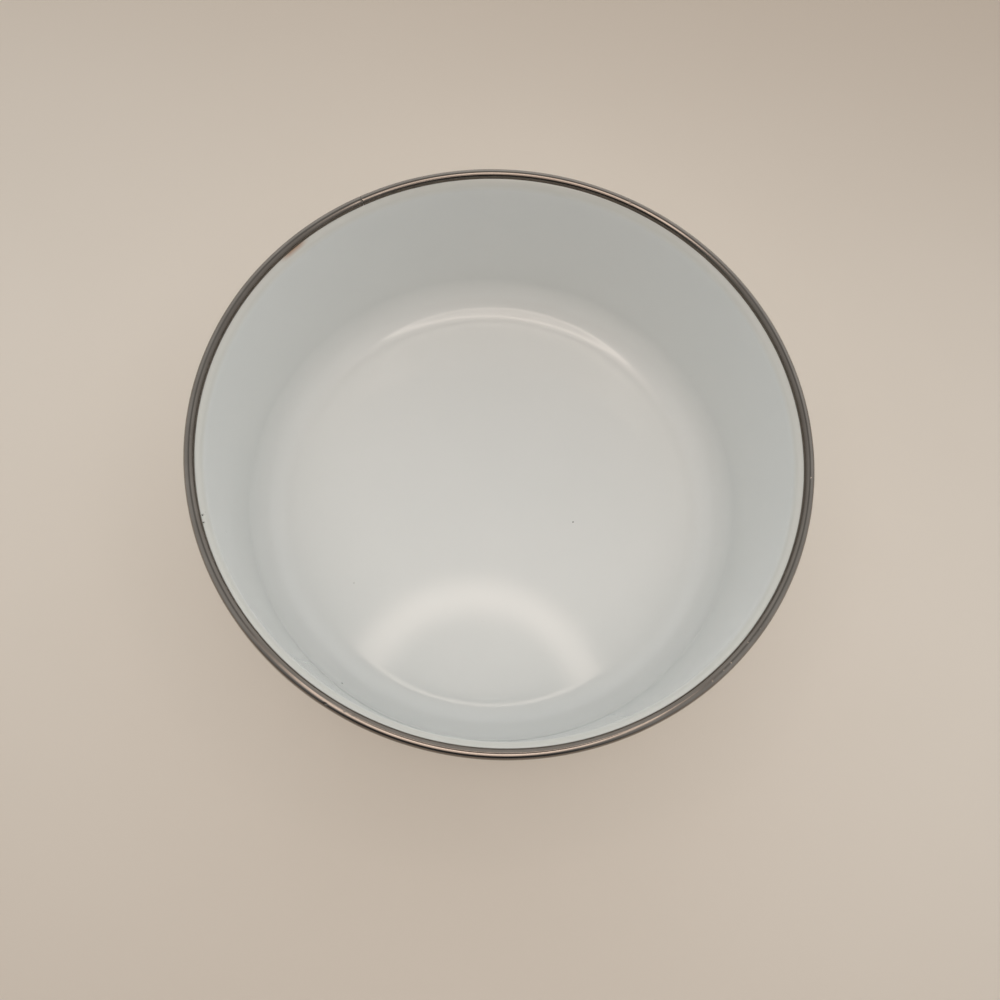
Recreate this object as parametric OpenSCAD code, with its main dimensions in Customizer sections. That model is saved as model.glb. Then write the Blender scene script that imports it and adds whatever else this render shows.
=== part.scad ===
// Enamelled steel basin with a rolled stainless rim band.
// The origin is the middle of the base, on the surface it stands on, and +Z is up.
// Sizes are in millimetres and angles in degrees.

/* [Basin] */
// Diameter across the outside of the rim band
rim_d = 250; // [200:5:320]
// Depth of the inside, from the middle of the rim band down to the floor
inside_depth = 90; // [60:1:110]
// Lean of the wall away from upright
wall_lean = 2.4; // [1:0.1:12]
// Inside radius of the round corner between the floor and the wall
corner_r = 19; // [8:0.5:26]

/* [Sheet and coats] */
// Thickness of the pressed steel sheet
steel_t = 0.6; // [0.5:0.05:1]
// Thickness of the dark ground coat on each side of the steel
ground_t = 0.15; // [0.1:0.01:0.2]
// Thickness of the white cover coat on each side
white_t = 0.25; // [0.2:0.01:0.35]

/* [Lip] */
// Inside radius of the outward flare under the rim band
flare_r = 6; // [4:0.25:10]
// Lean of the lip away from upright
lip_lean = 50; // [35:1:65]
// Straight length of lip that shows between the flare and the band
lip_shown = 0.4; // [0.2:0.1:2]

/* [Rim band] */
// Diameter of the rolled bead
band_d = 4.3; // [3.6:0.1:6]
// Thickness of the strip that the band is rolled from
band_t = 0.4; // [0.3:0.05:0.5]
// Gap left between the lip's edge and the inside of the bead
lip_gap = 0.1; // [0.05:0.05:0.2]
// Gap left between each edge of the band and the lip that it closes on
grip_gap = 0.02; // [0.01:0.01:0.1]
// Bearing of the band's joint, counter-clockwise from +X seen from above
joint_bearing = 131; // [0:1:360]
// Open width of the band's joint, cut straight across
joint_gap = 0.3; // [0.1:0.05:1]

/* [Hidden] */
$fn = 180;

// Layers, as depths below the white surface that shows inside the basin
inside_ground_at = white_t;
steel_at = white_t + ground_t;
outside_ground_at = steel_at + steel_t;
outside_white_at = outside_ground_at + ground_t;
wall_t = outside_white_at + white_t;

// Directions in the half section: along the wall and the lip, and out of the basin
wall_out = [cos(wall_lean), -sin(wall_lean)];
lip_along = [sin(lip_lean), cos(lip_lean)];
lip_out = [cos(lip_lean), -sin(lip_lean)];

// Floor, and the middle of the bead, which the lip runs into
floor_z = wall_t;
bead_r = band_d / 2;
bead_at = [rim_d / 2 - bead_r, floor_z + inside_depth];
bead_hole_r = bead_r - band_t;
grip_w = wall_t + 2 * grip_gap;

// Inside white surface from the bead down: lip, flare, wall, corner, floor
lip_mid = bead_at - lip_out * wall_t / 2;
lip_edge = lip_mid + lip_along * (sqrt(pow(bead_hole_r, 2) - pow(wall_t / 2, 2)) - lip_gap);
flare_end = lip_mid - lip_along * (bead_r + lip_shown);
flare_at = flare_end + lip_out * flare_r;
wall_top = flare_at - wall_out * flare_r;
corner_end_z = floor_z + corner_r * (1 - sin(wall_lean));
corner_end = [wall_top[0] - (wall_top[1] - corner_end_z) * tan(wall_lean), corner_end_z];
corner_at = corner_end - wall_out * corner_r;
floor_r = corner_at[0];

// How far a straight stretch runs into the round that it meets, so the two join cleanly
tuck = 0.002;

// Half section of all that lies within one depth below the inside white surface,
// carried on past the lip's edge. Its straight stretches end a tuck inside the rounds.
module within(depth) {
    beyond = lip_edge + lip_along * band_d;
    mouth = beyond - lip_out * band_d;
    difference() {
        union() {
            polygon([
                [0, floor_z - depth],
                [floor_r, floor_z - depth],
                corner_end + wall_out * (depth - tuck),
                wall_top + wall_out * (depth + tuck),
                flare_end + lip_out * (depth + tuck),
                beyond + lip_out * depth,
                mouth,
                [0, mouth[1]]
            ]);
            translate(corner_at) circle(r = corner_r + depth);
        }
        translate(flare_at) circle(r = flare_r - depth);
    }
}

// One layer of the basin, from one depth down to another, trimmed square at the lip's edge
module layer(top, bottom) {
    rotate_extrude()
        difference() {
            within(bottom);
            within(top);
            translate(lip_edge)
                rotate(-lip_lean)
                    translate([-2 * band_d, 0])
                        square(4 * band_d);
        }
}

// Pressed sheet that gives the basin its shape
module steel_bowl() {
    color("#6d6a66") layer(steel_at, outside_ground_at);
}

// Dark glass fired onto the steel, under the white, inside
module inside_ground_coat() {
    color("#22252c") layer(inside_ground_at, steel_at);
}

// Dark glass fired onto the steel, under the white, outside
module outside_ground_coat() {
    color("#22252c") layer(outside_ground_at, outside_white_at);
}

// White glass that shows inside the basin
module inside_white_coat() {
    color("#e3e6e2") layer(0, inside_ground_at);
}

// White glass that shows outside the basin and meets the table
module outside_white_coat() {
    color("#e3e6e2") layer(outside_white_at, wall_t);
}

// Stainless strip rolled round the lip, its two edges gripping the white coats
module rim_band() {
    color("#9b948b")
        difference() {
            rotate_extrude()
                difference() {
                    translate(bead_at) circle(r = bead_r);
                    translate(bead_at) circle(r = bead_hole_r);
                    translate(bead_at)
                        rotate(-lip_lean)
                            translate([-grip_w / 2, -band_d])
                                square([grip_w, band_d]);
                }
            rotate([0, 0, joint_bearing])
                translate([bead_at[0], 0, bead_at[1]])
                    cube([2 * band_d, joint_gap, 2 * band_d], center = true);
        }
}

steel_bowl();
inside_ground_coat();
outside_ground_coat();
inside_white_coat();
outside_white_coat();
rim_band();
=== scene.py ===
"""White enamelled-steel basin with a rolled stainless rim band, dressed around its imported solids."""

import math

import bmesh
import bpy
from mathutils import Matrix, Vector, noise


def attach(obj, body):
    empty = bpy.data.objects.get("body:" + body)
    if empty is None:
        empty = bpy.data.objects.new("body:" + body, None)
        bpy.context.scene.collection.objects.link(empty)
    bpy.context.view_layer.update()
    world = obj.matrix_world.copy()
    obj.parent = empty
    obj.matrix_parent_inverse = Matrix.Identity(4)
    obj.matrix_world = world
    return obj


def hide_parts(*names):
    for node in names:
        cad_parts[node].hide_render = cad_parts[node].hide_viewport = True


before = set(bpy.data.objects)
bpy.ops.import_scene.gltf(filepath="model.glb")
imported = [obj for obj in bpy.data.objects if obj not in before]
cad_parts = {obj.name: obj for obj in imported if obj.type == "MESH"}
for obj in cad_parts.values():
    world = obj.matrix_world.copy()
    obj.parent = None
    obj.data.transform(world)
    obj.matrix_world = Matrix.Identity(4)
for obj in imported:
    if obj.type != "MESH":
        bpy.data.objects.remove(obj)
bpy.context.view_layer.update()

mm = 0.001


# Helpers for materials

def linear(hex_colour):
    """An sRGB hex colour as a linear RGBA value."""
    shares = [int(hex_colour[i:i + 2], 16) / 255 for i in (1, 3, 5)]
    return [s / 12.92 if s <= 0.04045 else ((s + 0.055) / 1.055) ** 2.4 for s in shares] + [1.0]


def add_node(tree, kind, inputs=None, **settings):
    """Adds one node: settings are its own options, inputs are values or the sockets that feed it."""
    node = tree.nodes.new(kind)
    for option, value in settings.items():
        setattr(node, option, value)
    for socket, value in (inputs or {}).items():
        if isinstance(value, bpy.types.NodeSocket):
            tree.links.new(value, node.inputs[socket])
        else:
            node.inputs[socket].default_value = value
    return node


def speckle(tree, place, size, detail, roughness=0.5):
    """Noise over a piece, with blotches about one size wide, in metres."""
    return add_node(tree, "ShaderNodeTexNoise", {
        "Vector": place, "Scale": 1 / size, "Detail": detail, "Roughness": roughness}).outputs[0]


def blend(tree, share, first, second):
    """A colour that goes from the first to the second as the share goes from 0 to 1."""
    return add_node(tree, "ShaderNodeMix", {0: share, 6: first, 7: second}, data_type="RGBA").outputs[2]


def ramp(tree, value, start, end, low, high, curve="LINEAR"):
    """A value that goes from low to high while another goes from start to end, and is level beyond."""
    limits = {0: value, 1: start, 2: end, 3: low, 4: high}
    return add_node(tree, "ShaderNodeMapRange", limits, interpolation_type=curve).outputs[0]


def calculate(tree, operation, *values):
    """The result of one sum on plain values."""
    return add_node(tree, "ShaderNodeMath", dict(enumerate(values)), operation=operation).outputs[0]


def new_material(name):
    """A material with an empty node tree, that tree, and the place on the piece to feed its textures."""
    material = bpy.data.materials.new(name)
    material.use_nodes = True
    tree = material.node_tree
    tree.nodes.clear()
    return material, tree, add_node(tree, "ShaderNodeTexCoord").outputs["Object"]


def finish_material(tree, kind, inputs):
    """Ends a material with its surface."""
    shader = add_node(tree, kind, inputs)
    add_node(tree, "ShaderNodeOutputMaterial", {"Surface": shader.outputs[0]})


def dress_cad_node(name, material):
    """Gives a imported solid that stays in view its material."""
    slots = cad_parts[name].data.materials
    slots.clear()
    slots.append(material)


# Pressed bowl
# The body of the basin, drawn from one disc of cold-rolled low-carbon steel, 0.6 mm thick.
# Glass covers it inside and out, so it shows only where both coats of a side are broken.

# Cold-rolled sheet: a dull grey with fine rolling lines, 0.8 mm apart and 25 mm long.
sheet_steel, tree, place = new_material("cold_rolled_sheet_steel")
line_length = 25 * mm
line_spacing = 0.8 * mm
rolling = add_node(tree, "ShaderNodeMapping", {
    "Vector": place, "Scale": (1 / line_length, 1 / line_spacing, 1 / line_length)})
lines = speckle(tree, rolling.outputs[0], 1.0, 3.0)
finish_material(tree, "ShaderNodeBsdfPrincipled", {
    "Base Color": blend(tree, lines, linear("#7d7b78"), linear("#96938f")),
    "Roughness": ramp(tree, lines, 0.0, 1.0, 0.34, 0.5),
    "Metallic": 1.0})
dress_cad_node("steel_bowl", sheet_steel)


# Ground coats
# Dark cobalt-bearing glass fired onto each side of the steel, 0.15 mm thick, so that the white will hold.
# It shows as black dots where the white coat has pinholes and chips.

# Dark vitreous enamel: near black, a little blue, glossy, with bubbles about 0.4 mm across.
ground_enamel, tree, place = new_material("dark_ground_enamel")
bubble_size = 0.4 * mm
bubbles = add_node(tree, "ShaderNodeTexVoronoi", {"Vector": place, "Scale": 1 / bubble_size}).outputs[0]
pits = add_node(tree, "ShaderNodeBump", {"Strength": 0.3, "Distance": 0.05 * mm, "Height": bubbles})
finish_material(tree, "ShaderNodeBsdfPrincipled", {
    "Base Color": blend(tree, bubbles, linear("#14151a"), linear("#262a33")),
    "Normal": pits.outputs[0],
    "Roughness": 0.25,
    "IOR": 1.52})
dress_cad_node("inside_ground_coat", ground_enamel)
dress_cad_node("outside_ground_coat", ground_enamel)


# Half section of the basin
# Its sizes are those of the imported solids, in millimetres. Its points are (distance from the axis, height).

rim_diameter = 250.0
inside_depth = 90.0
wall_lean = math.radians(2.4)
corner_radius = 19.0
flare_radius = 6.0
lip_lean = math.radians(50)
lip_shown = 0.4
white_thickness = 0.25
ground_thickness = 0.15
steel_thickness = 0.6
wall_thickness = steel_thickness + 2 * (ground_thickness + white_thickness)
bead_radius = 2.15
strip_thickness = 0.4
lip_gap = 0.1

wall_out = Vector((math.cos(wall_lean), -math.sin(wall_lean)))
lip_along = Vector((math.sin(lip_lean), math.cos(lip_lean)))
lip_out = Vector((math.cos(lip_lean), -math.sin(lip_lean)))
floor_height = wall_thickness
bead_middle = Vector((rim_diameter / 2 - bead_radius, floor_height + inside_depth))
bead_hole = bead_radius - strip_thickness
lip_middle = bead_middle - lip_out * wall_thickness / 2
lip_reach = math.sqrt(bead_hole ** 2 - (wall_thickness / 2) ** 2) - lip_gap
lip_edge = lip_middle + lip_along * lip_reach
flare_end = lip_middle - lip_along * (bead_radius + lip_shown)
flare_middle = flare_end + lip_out * flare_radius
wall_top = flare_middle - wall_out * flare_radius
corner_top = floor_height + corner_radius * (1 - math.sin(wall_lean))
wall_foot = Vector((wall_top.x - (wall_top.y - corner_top) * math.tan(wall_lean), corner_top))
corner_middle = wall_foot - wall_out * corner_radius


def section_line(depth):
    """Points of the half section, one depth below the white inside, from mid floor to the lip's edge."""
    floor_steps, corner_steps, wall_steps, flare_steps, lip_steps = 40, 40, 28, 10, 4
    line = []
    for i in range(floor_steps):
        share = math.sin(math.pi / 2 * i / floor_steps)
        line.append(Vector((corner_middle.x * share, floor_height - depth)))
    for i in range(corner_steps + 1):
        turn = (math.pi / 2 - wall_lean) * i / corner_steps
        line.append(corner_middle + (corner_radius + depth) * Vector((math.sin(turn), -math.cos(turn))))
    for i in range(1, wall_steps):
        line.append(wall_foot.lerp(wall_top, i / wall_steps) + wall_out * depth)
    for i in range(flare_steps + 1):
        lean = wall_lean + (lip_lean - wall_lean) * i / flare_steps
        line.append(flare_middle - (flare_radius - depth) * Vector((math.cos(lean), -math.sin(lean))))
    for i in range(1, lip_steps + 1):
        line.append(flare_end.lerp(lip_edge, i / lip_steps) + lip_out * depth)
    return line


def line_normals(line):
    """Unit normals along a half section, pointing to the inside of the basin."""
    normals = []
    for i in range(len(line)):
        along = line[min(i + 1, len(line) - 1)] - line[max(i - 1, 0)]
        normals.append(Vector((-along.y, along.x)).normalized())
    return normals


def turned(point, bearing):
    """A half section's point in millimetres, turned to a bearing about the axis, in metres."""
    return Vector((point.x * math.cos(bearing), point.x * math.sin(bearing), point.y)) * mm


def skin(name, sections, loop, ring):
    """A mesh through many sections: loop closes each section, ring joins the last section to the first."""
    same_point = 1e-7
    count = len(sections[0])
    points = [point for section in sections for point in section]
    faces = []
    for i in range(len(sections) if ring else len(sections) - 1):
        here = i * count
        there = (i + 1) % len(sections) * count
        for k in range(count if loop else count - 1):
            after = (k + 1) % count
            faces.append((here + k, there + k, there + after, here + after))
    if loop and not ring:
        end = (len(sections) - 1) * count
        faces.append(tuple(range(count)))
        faces.append(tuple(end + k for k in reversed(range(count))))
    mesh = bpy.data.meshes.new(name)
    mesh.from_pydata(points, [], faces)
    shape = bmesh.new()
    shape.from_mesh(mesh)
    bmesh.ops.remove_doubles(shape, verts=shape.verts, dist=same_point)
    bmesh.ops.recalc_face_normals(shape, faces=shape.faces)
    shape.to_mesh(mesh)
    shape.free()
    piece = bpy.data.objects.new(name, mesh)
    bpy.context.scene.collection.objects.link(piece)
    return piece


def smooth(piece):
    """Shades a piece smooth, apart from its true edges."""
    sharp_angle = math.radians(35)
    piece.data.polygons.foreach_set("use_smooth", [True] * len(piece.data.polygons))
    piece.data.set_sharp_from_angle(angle=sharp_angle)


# White coat inside
# Opaque white glass, 0.25 mm thick, sprayed over the ground coat and fired. It is glossy and slightly cool,
# follows the pressing's small unevenness, pools a little at the corner's foot, and is pierced or scratched
# at a few places.

sag_height = 0.022
sag_width = 38 * mm
ripple_height = 0.006
ripple_width = 11 * mm
ripple_shift = Vector((7, 3, 1))
pool_height = 0.12
pool_past_floor = 2.0
pool_width = 3.0


def unevenness(spot):
    """How far the fired surface stands above its true place, in millimetres, at a spot in metres."""
    sag = sag_height * noise.noise(spot / sag_width)
    ripple = ripple_height * noise.noise(spot / ripple_width + ripple_shift)
    return sag + ripple


def pooling(point):
    """How much thicker the glass lies where it runs together at the corner's foot, in millimetres."""
    past_floor = point.x - corner_middle.x
    if past_floor > 0:
        past_floor = corner_radius * math.atan2(past_floor, corner_middle.y - point.y)
    return pool_height * math.exp(-((past_floor - pool_past_floor) / pool_width) ** 2)


bearing_count = 384
bearings = [math.tau * i / bearing_count for i in range(bearing_count)]
front = section_line(0)
front_normals = line_normals(front)
back = section_line(white_thickness)
sections = []
for bearing in bearings:
    section = []
    for point, normal in zip(front, front_normals):
        bare = turned(point, bearing)
        section.append(turned(point + normal * (unevenness(bare) + pooling(point)), bearing))
    section[0] = turned(front[0], 0)
    sections.append(section + [turned(point, bearing) for point in reversed(back)])
inside_white = skin("white_inside", sections, loop=False, ring=True)

# Pinholes, chips and a hairline scratch through to the dark coat, and shallow pits: bearing in degrees,
# distance from the axis and height in millimetres, then length round the basin, width and depth
flaws = [
    (356.6, 40.8, 1.4, 0.95, 0.95, 0.3),
    (223.0, 78.8, 1.4, 0.6, 0.6, 0.3),
    (275.9, 60.2, 1.4, 0.4, 0.4, 0.3),
    (208.1, 120.3, 90.1, 1.3, 1.3, 0.3),
    (209.5, 120.5, 90.4, 0.9, 0.9, 0.3),
    (207.5, 119.5, 89.3, 0.5, 0.5, 0.2),
    (243.5, 113.2, 11.2, 1.1, 1.1, 0.32),
    (249.1, 115.2, 16.9, 0.7, 0.7, 0.28),
    (208.5, 117.5, 66.3, 0.8, 0.8, 0.12),
    (311.7, 117.0, 55.0, 6.2, 0.16, 0.3),
    (351.2, 119.8, 89.6, 1.6, 0.2, 0.15),
]
ragged_share = 0.35
ragged_grain = 1.6
ragged_step = 5.0


def nearest_on_front(spot):
    """The half section's point nearest to a spot, and its normal."""
    return min(zip(front, front_normals), key=lambda pair: (pair[0] - spot).length)


# Each flaw is a ragged ball, pressed flat to the glass, that is cut out of it
cutters = bmesh.new()
for number, (degrees, radius, height, length, width, flaw_depth) in enumerate(flaws):
    bearing = math.radians(degrees)
    spot = Vector((radius, height))
    point, normal = nearest_on_front(spot)
    spot -= normal * (spot - point).dot(normal)
    facing = Vector((normal.x * math.cos(bearing), normal.x * math.sin(bearing), normal.y))
    round_basin = Vector((-math.sin(bearing), math.cos(bearing), 0))
    stand = Matrix((round_basin, facing.cross(round_basin), facing)).transposed().to_4x4()
    ball = bmesh.ops.create_icosphere(cutters, subdivisions=3, radius=1.0)
    for vertex in ball["verts"]:
        grain = vertex.co * ragged_grain + Vector((number * ragged_step, 0, 0))
        ragged = 1 + ragged_share * noise.noise(grain)
        size = Vector((length / 2, width / 2, flaw_depth)) * ragged * mm
        vertex.co = Vector((vertex.co.x * size.x, vertex.co.y * size.y, vertex.co.z * size.z))
    place_flaw = Matrix.Translation(turned(spot, bearing)) @ stand
    bmesh.ops.transform(cutters, matrix=place_flaw, verts=ball["verts"])
cutter_mesh = bpy.data.meshes.new("flaw_cutters")
cutters.to_mesh(cutter_mesh)
cutters.free()
cutter = bpy.data.objects.new("flaw_cutters", cutter_mesh)
bpy.context.scene.collection.objects.link(cutter)
pierce = inside_white.modifiers.new("flaws", "BOOLEAN")
pierce.operation = "DIFFERENCE"
pierce.solver = "EXACT"
pierce.object = cutter
bpy.context.view_layer.update()
pierced = inside_white.evaluated_get(bpy.context.evaluated_depsgraph_get())
pierced_mesh = bpy.data.meshes.new_from_object(pierced)
inside_white.modifiers.clear()
inside_white.data = pierced_mesh
bpy.data.objects.remove(cutter)
smooth(inside_white)

# Vitreous enamel, sprayed and fired: an opaque white whose tone drifts a little, under a soft gloss.
# Near the top it is greyed by painted shade over the flare and lip, and it is stained by rust at one place
# there.
white_enamel, tree, place = new_material("white_vitreous_enamel")
stain_spot = turned(Vector((120.6, 90.3)), math.radians(148.3))
stain_share = 0.7
drift = speckle(tree, place, 55 * mm, 3.0, 0.55)
white = blend(tree, drift, linear("#e3e6e5"), linear("#e8eae9"))
height = add_node(tree, "ShaderNodeSeparateXYZ", {0: place}).outputs["Z"]
# Painted shade: a grey over the flare and lip, from 86 mm up.
lip_shade_mask = ramp(tree, height, 86 * mm, 88.5 * mm, 0.0, 1.0)
lip_painted_shade = blend(tree, lip_shade_mask, white, linear("#d6d7d2"))
from_stain = add_node(tree, "ShaderNodeVectorMath", {0: place, 1: stain_spot}, operation="DISTANCE")
stain = ramp(tree, from_stain.outputs["Value"], 2 * mm, 9 * mm, stain_share, 0.0, "SMOOTHSTEP")
by_band = ramp(tree, height, 89.3 * mm, 90.6 * mm, 0.0, 1.0)
rust = calculate(tree, "MULTIPLY", stain, by_band)
wear = speckle(tree, place, 16 * mm, 5.0, 0.6)
finish_material(tree, "ShaderNodeBsdfPrincipled", {
    "Base Color": blend(tree, rust, lip_painted_shade, linear("#a9774a")),
    "Roughness": ramp(tree, wear, 0.0, 1.0, 0.05, 0.08),
    "IOR": 1.5})
inside_white.data.materials.append(white_enamel)
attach(inside_white, "root")
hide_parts("inside_white_coat")


# White coat outside
# The same white glass on the outer side of the basin, as uneven as inside but for its flat bottom,
# which is what the basin stands on.

hidden = section_line(wall_thickness - white_thickness)
shown = section_line(wall_thickness)
shown_normals = line_normals(shown)
sections = []
for bearing in bearings:
    section = [turned(point, bearing) for point in hidden]
    for point, normal in reversed(list(zip(shown, shown_normals))):
        bare = turned(point, bearing)
        lift = unevenness(bare) * min(1.0, point.y / corner_radius)
        section.append(turned(point - normal * lift, bearing))
    sections.append(section)
outside_white = skin("white_outside", sections, loop=False, ring=True)
smooth(outside_white)
outside_white.data.materials.append(white_enamel)
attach(outside_white, "root")
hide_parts("outside_white_coat")


# Rim band
# A stainless strip, 0.4 mm thick, rolled round the lip into a bead and crimped so that its two edges grip
# the glass. Its ends meet at a straight joint. Use has nicked the crown, and rolling has left faint flats.

grip_gap = 0.02
joint_bearing = math.radians(131)
joint_gap = 0.3
grip_half = wall_thickness / 2 + grip_gap
opening_at = math.atan2(-lip_along.y, -lip_along.x)
outer_turn = math.asin(grip_half / bead_radius)
inner_turn = math.asin(grip_half / bead_hole)

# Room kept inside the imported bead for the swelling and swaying, and how far these go, in millimetres
outer_room = 0.09
inner_room = 0.05
swell_height = 0.025
swell_width = 22 * mm
swell_shift = Vector((3, 9, 4))
slow_sway = 0.05
slow_sway_width = 30 * mm
quick_sway = 0.02
quick_sway_width = 9 * mm
sway_outwards = 0.02

# Flats round the bead: height in millimetres, number of them and where they start
broad_flat_height = 0.008
broad_flats = 7
broad_flat_start = 0.6
fine_flat_height = 0.002
fine_flats = 13

# Ends of the strip: rounded edges, and one end that sits lower
end_round_length = 0.12
end_round_depth = 0.06
end_drop = 0.03
end_drop_length = 6.0

# Nicks in the bead: bearing in degrees, turn round the bead in degrees (90 is the crown, 180 the inside),
# half length, half width and depth in millimetres
nicks = [
    (249.4, 62, 0.9, 0.6, 0.14),
    (252.8, 100, 0.5, 0.4, 0.2),
    (254.3, 104, 0.7, 0.4, 0.14),
    (2.6, 92, 0.45, 0.4, 0.16),
    (318.5, 84, 0.5, 0.35, 0.08),
    (321.3, 88, 0.35, 0.3, 0.05),
    (323.2, 92, 0.4, 0.3, 0.06),
    (328.0, 104, 0.5, 0.3, 0.05),
    (329.5, 81, 0.6, 0.3, 0.06),
    (331.5, 86, 0.35, 0.3, 0.06),
    (340.5, 81, 0.4, 0.3, 0.05),
    (193.0, 120, 0.8, 0.5, 0.07),
    (74.0, 110, 0.9, 0.5, 0.07),
]


def bead_dent(bearing, around):
    """How far the bead is pressed in at a bearing and a turn round it, in millimetres."""
    dent = 0.0
    for degrees, turn, half_length, half_width, nick_depth in nicks:
        along = (bearing - math.radians(degrees) + math.pi) % math.tau - math.pi
        across = (around - math.radians(turn) + math.pi) % math.tau - math.pi
        far = math.hypot(along * bead_middle.x / half_length, across * bead_radius / half_width)
        if far < 1:
            dent += nick_depth * (1 - far * far) ** 2
    return dent


# Bearings of the band's sections, closer together at its two ends and at each nick
station_steps = 720
nick_steps = 6
end_shares = (0.15, 0.4, 0.7, 1.0)
half_joint = joint_gap / 2 / bead_middle.x
first = joint_bearing + half_joint
last = joint_bearing + math.tau - half_joint
end_round = end_round_length / bead_middle.x
stations = [first + (last - first) * i / station_steps for i in range(station_steps + 1)]
stations += [first + end_round * share for share in end_shares]
stations += [last - end_round * share for share in end_shares]
for degrees, turn, half_length, half_width, nick_depth in nicks:
    middle = math.radians(degrees)
    middle += math.tau * math.ceil((first - middle) / math.tau)
    for step in range(-nick_steps, nick_steps + 1):
        stations.append(middle + half_length / bead_middle.x * step / nick_steps)
stations = sorted(set(round(station, 7) for station in stations))

outer_steps = 72
inner_steps = 12
sections = []
for bearing in stations:
    from_end = min(bearing - first, last - bearing)
    short_of_round = 1 - min(1.0, from_end / end_round)
    rounding = end_round_depth * (1 - math.sqrt(max(0.0, 1 - short_of_round ** 2)))
    dropped = end_drop * math.exp(-(last - bearing) * bead_middle.x / end_drop_length)
    spot = turned(bead_middle, bearing)
    sway = slow_sway * noise.noise(spot / slow_sway_width)
    sway += quick_sway * noise.noise(spot / quick_sway_width)
    swell = swell_height * noise.noise(spot / swell_width + swell_shift)
    section = []
    for i in range(outer_steps + 1):
        around = opening_at + outer_turn + (math.tau - 2 * outer_turn) * i / outer_steps
        flats = broad_flat_height * math.cos(broad_flats * around + broad_flat_start)
        flats += fine_flat_height * math.cos(fine_flats * around)
        reach = bead_radius - outer_room + swell + flats - rounding - bead_dent(bearing, around)
        section.append(bead_middle + Vector((math.cos(around), math.sin(around))) * reach)
    for i in reversed(range(inner_steps + 1)):
        around = opening_at + inner_turn + (math.tau - 2 * inner_turn) * i / inner_steps
        reach = bead_hole - inner_room
        section.append(bead_middle + Vector((math.cos(around), math.sin(around))) * reach)
    shift = Vector((sway_outwards * sway, sway - dropped))
    sections.append([turned(point + shift, bearing) for point in section])
rim_band = skin("rim_band_rolled", sections, loop=True, ring=False)
smooth(rim_band)

# Stainless strip, bright-rolled and handled: warm grey, with marks about 0.5 mm apart, duller in patches,
# and with a painted dark reflection, dark brown, on the side that closes on the glass.
stainless, tree, place = new_material("rolled_stainless_strip")
# Painted reflection: dark brown on the inner side of the bead, nearest the glass.
painted_reflection_share = 0.75
painted_reflection_from = (bead_middle.x - 2.1) * mm
painted_reflection_to = (bead_middle.x - 0.3) * mm
patches = speckle(tree, place, 14 * mm, 4.0, 0.6)
tone = blend(tree, patches, linear("#99928b"), linear("#7d756e"))
level = add_node(tree, "ShaderNodeVectorMath", {0: place, 1: (1, 1, 0)}, operation="MULTIPLY")
from_axis = add_node(tree, "ShaderNodeVectorMath", {0: level.outputs[0]}, operation="LENGTH")
painted_reflection_mask = ramp(tree, from_axis.outputs["Value"], painted_reflection_from, painted_reflection_to, painted_reflection_share, 0.0)
marks = speckle(tree, place, 0.5 * mm, 2.0)
scuffs = add_node(tree, "ShaderNodeBump", {"Strength": 0.08, "Distance": 0.05 * mm, "Height": marks})
finish_material(tree, "ShaderNodeBsdfPrincipled", {
    "Base Color": blend(tree, painted_reflection_mask, tone, linear("#4a4037")),
    "Roughness": ramp(tree, patches, 0.0, 1.0, 0.1, 0.18),
    "Normal": scuffs.outputs[0],
    "Metallic": 1.0})
rim_band.data.materials.append(stainless)
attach(rim_band, "root")
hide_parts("rim_band")


# Floor
# A plain pale sheet of paper that the basin stands on, set a hair below its base.

floor_half = 3.0
floor_drop = 0.00005
floor_corners = ((-1, -1), (1, -1), (1, 1), (-1, 1))
floor_mesh = bpy.data.meshes.new("floor")
floor_mesh.from_pydata(
    [(x * floor_half, y * floor_half, -floor_drop) for x, y in floor_corners], [], [(0, 1, 2, 3)])
floor = bpy.data.objects.new("floor", floor_mesh)
bpy.context.scene.collection.objects.link(floor)

# Uncoated paper: matt and warm, its tone drifting over hand widths, darkened by painted shade before and
# behind the basin.
paper, tree, place = new_material("pale_paper")
painted_shade_full_at = 0.5
drift = speckle(tree, place, 120 * mm, 3.0)
tone = blend(tree, drift, linear("#e3dbd0"), linear("#e8e0d6"))
off_middle = calculate(tree, "ABSOLUTE", add_node(tree, "ShaderNodeSeparateXYZ", {0: place}).outputs["Y"])
# Painted shade: the paper darkens with distance before and behind the basin, fully at half a metre.
painted_shade = ramp(tree, off_middle, 0.0, painted_shade_full_at, 0.0, 1.0, "SMOOTHSTEP")
finish_material(tree, "ShaderNodeBsdfPrincipled", {
    "Base Color": blend(tree, painted_shade, tone, linear("#cabdaf")),
    "Roughness": 0.9,
    "Specular IOR Level": 0.2})
floor_mesh.materials.append(paper)


# Light
# A soft ring lamp above the near half of the basin, with a warm glow around it, and plainer soft light
# from both sides and from behind, with a little from all round that is strongest at the horizon.

lamp_middle = (0.018, -0.072, 0.4088)
ring_radius = 0.1087
ring_half_width = 0.032
ring_segments = 128
ring_strength = 2.8
warm_light = linear("#ffefe3")
plain_light = linear("#fbfdfc")

lamp_mesh = bpy.data.meshes.new("ring_lamp")
disc = bmesh.new()
bmesh.ops.create_circle(disc, cap_ends=True, segments=ring_segments, radius=ring_radius + ring_half_width)
disc.to_mesh(lamp_mesh)
disc.free()
ring_lamp = bpy.data.objects.new("ring_lamp", lamp_mesh)
bpy.context.scene.collection.objects.link(ring_lamp)
ring_lamp.location = lamp_middle

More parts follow.
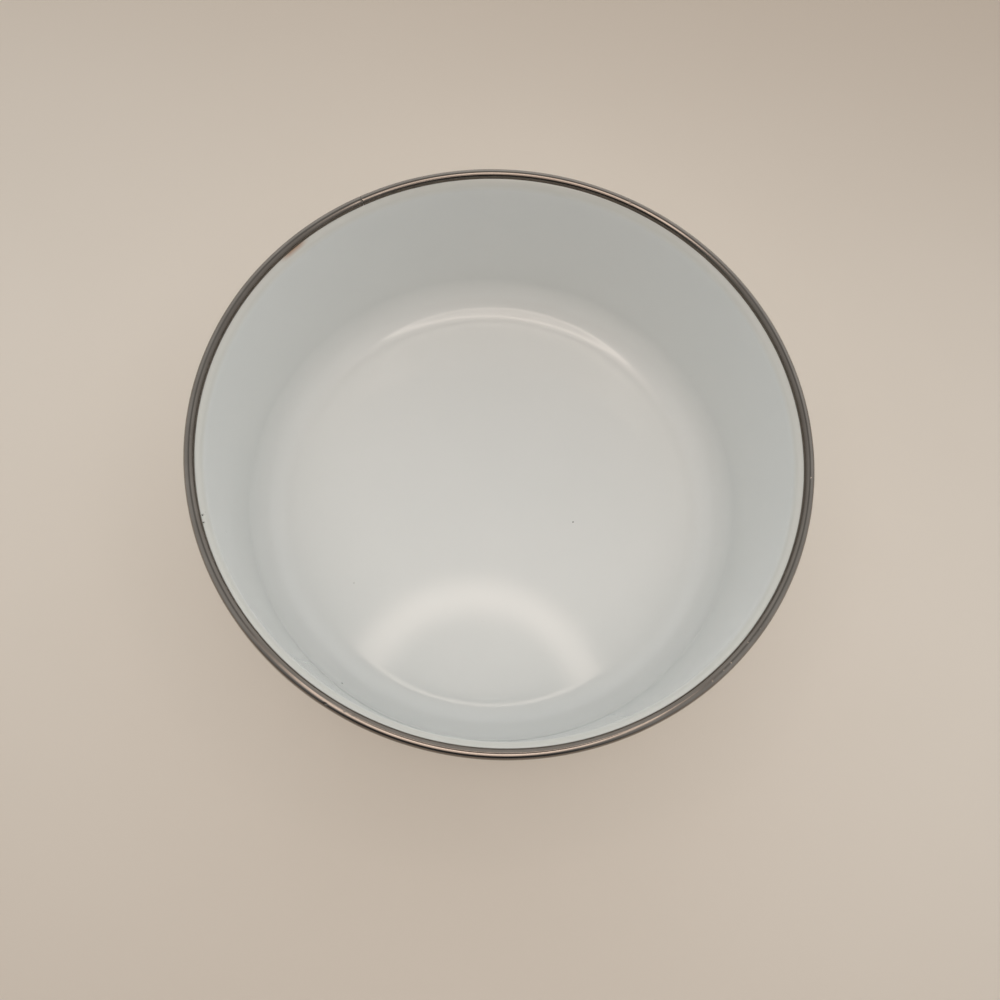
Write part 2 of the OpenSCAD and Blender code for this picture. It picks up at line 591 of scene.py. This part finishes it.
# A clear disc that glows along one ring, fading out on both sides of it.
ring_glow, tree, place = new_material("ring_lamp_glow")
from_middle = add_node(tree, "ShaderNodeVectorMath", {0: place}, operation="LENGTH").outputs["Value"]
from_ring = calculate(tree, "ABSOLUTE", calculate(tree, "SUBTRACT", from_middle, ring_radius))
ring = ramp(tree, from_ring, 0.0, ring_half_width, ring_strength, 0.0, "SMOOTHSTEP")
lamp = add_node(tree, "ShaderNodeEmission", {"Color": warm_light, "Strength": ring})
clear = add_node(tree, "ShaderNodeBsdfTransparent")
finish_material(tree, "ShaderNodeAddShader", {0: lamp.outputs[0], 1: clear.outputs[0]})
lamp_mesh.materials.append(ring_glow)
ring_lamp.visible_camera = False

# Soft lights of the room: where each comes from, the cosine at which it ends, and its strength.
# The one from the sides is folded over, so that it comes from the left and the right alike.
sides_light = ((0.8, 0, 0.6), 0.55, 0.64)
behind_light = ((0, 0.97, 0.25), 0.4, 0.92)
glow_light = ((0, -0.29, 0.957), 0.88, 2.15)

# Light from all round: its strength at the horizon and higher up, and the height where the latter starts
horizon_strength = 0.36
fill_strength = 0.05
fill_from = 0.32

room = bpy.data.worlds.new("room")
bpy.context.scene.world = room
room.use_nodes = True
tree = room.node_tree
tree.nodes.clear()
direction = add_node(tree, "ShaderNodeTexCoord").outputs["Generated"]


def soft_light(seen_from, aim, edge, strength):
    """Light from round about one aim, fading out where the cosine to it falls to the edge."""
    near_aim = add_node(tree, "ShaderNodeVectorMath", {0: seen_from, 1: aim}, operation="DOT_PRODUCT")
    return ramp(tree, near_aim.outputs["Value"], edge, 1.0, 0.0, strength, "SMOOTHSTEP")


folded = add_node(tree, "ShaderNodeVectorMath", {0: direction}, operation="ABSOLUTE").outputs[0]
height = add_node(tree, "ShaderNodeSeparateXYZ", {0: direction}).outputs["Z"]
sides = soft_light(folded, *sides_light)
behind = soft_light(direction, *behind_light)
glow = soft_light(direction, *glow_light)
all_round = ramp(tree, height, 0.0, fill_from, horizon_strength, fill_strength, "SMOOTHSTEP")
around = calculate(tree, "ADD", all_round, calculate(tree, "ADD", sides, behind))
plain = add_node(tree, "ShaderNodeBackground", {"Color": plain_light, "Strength": around})
warm = add_node(tree, "ShaderNodeBackground", {"Color": warm_light, "Strength": glow})
both = add_node(tree, "ShaderNodeAddShader", {0: plain.outputs[0], 1: warm.outputs[0]})
add_node(tree, "ShaderNodeOutputWorld", {"Surface": both.outputs[0]})


# Camera
# It looks down into the basin from above its near edge.

camera_place = (0.0031, -0.13246, 0.4088)
camera_tilt = math.radians(18.19)
camera_roll = math.radians(11.2)
lens = bpy.data.cameras.new("camera")
lens.sensor_width = 36.0
lens.lens = 31.03
camera = bpy.data.objects.new("camera", lens)
camera.matrix_world = (Matrix.Translation(camera_place)
                       @ Matrix.Rotation(camera_tilt, 4, "X")
                       @ Matrix.Rotation(camera_roll, 4, "Z"))
bpy.context.scene.collection.objects.link(camera)
bpy.context.scene.camera = camera
bpy.context.scene.view_settings.view_transform = "Standard"
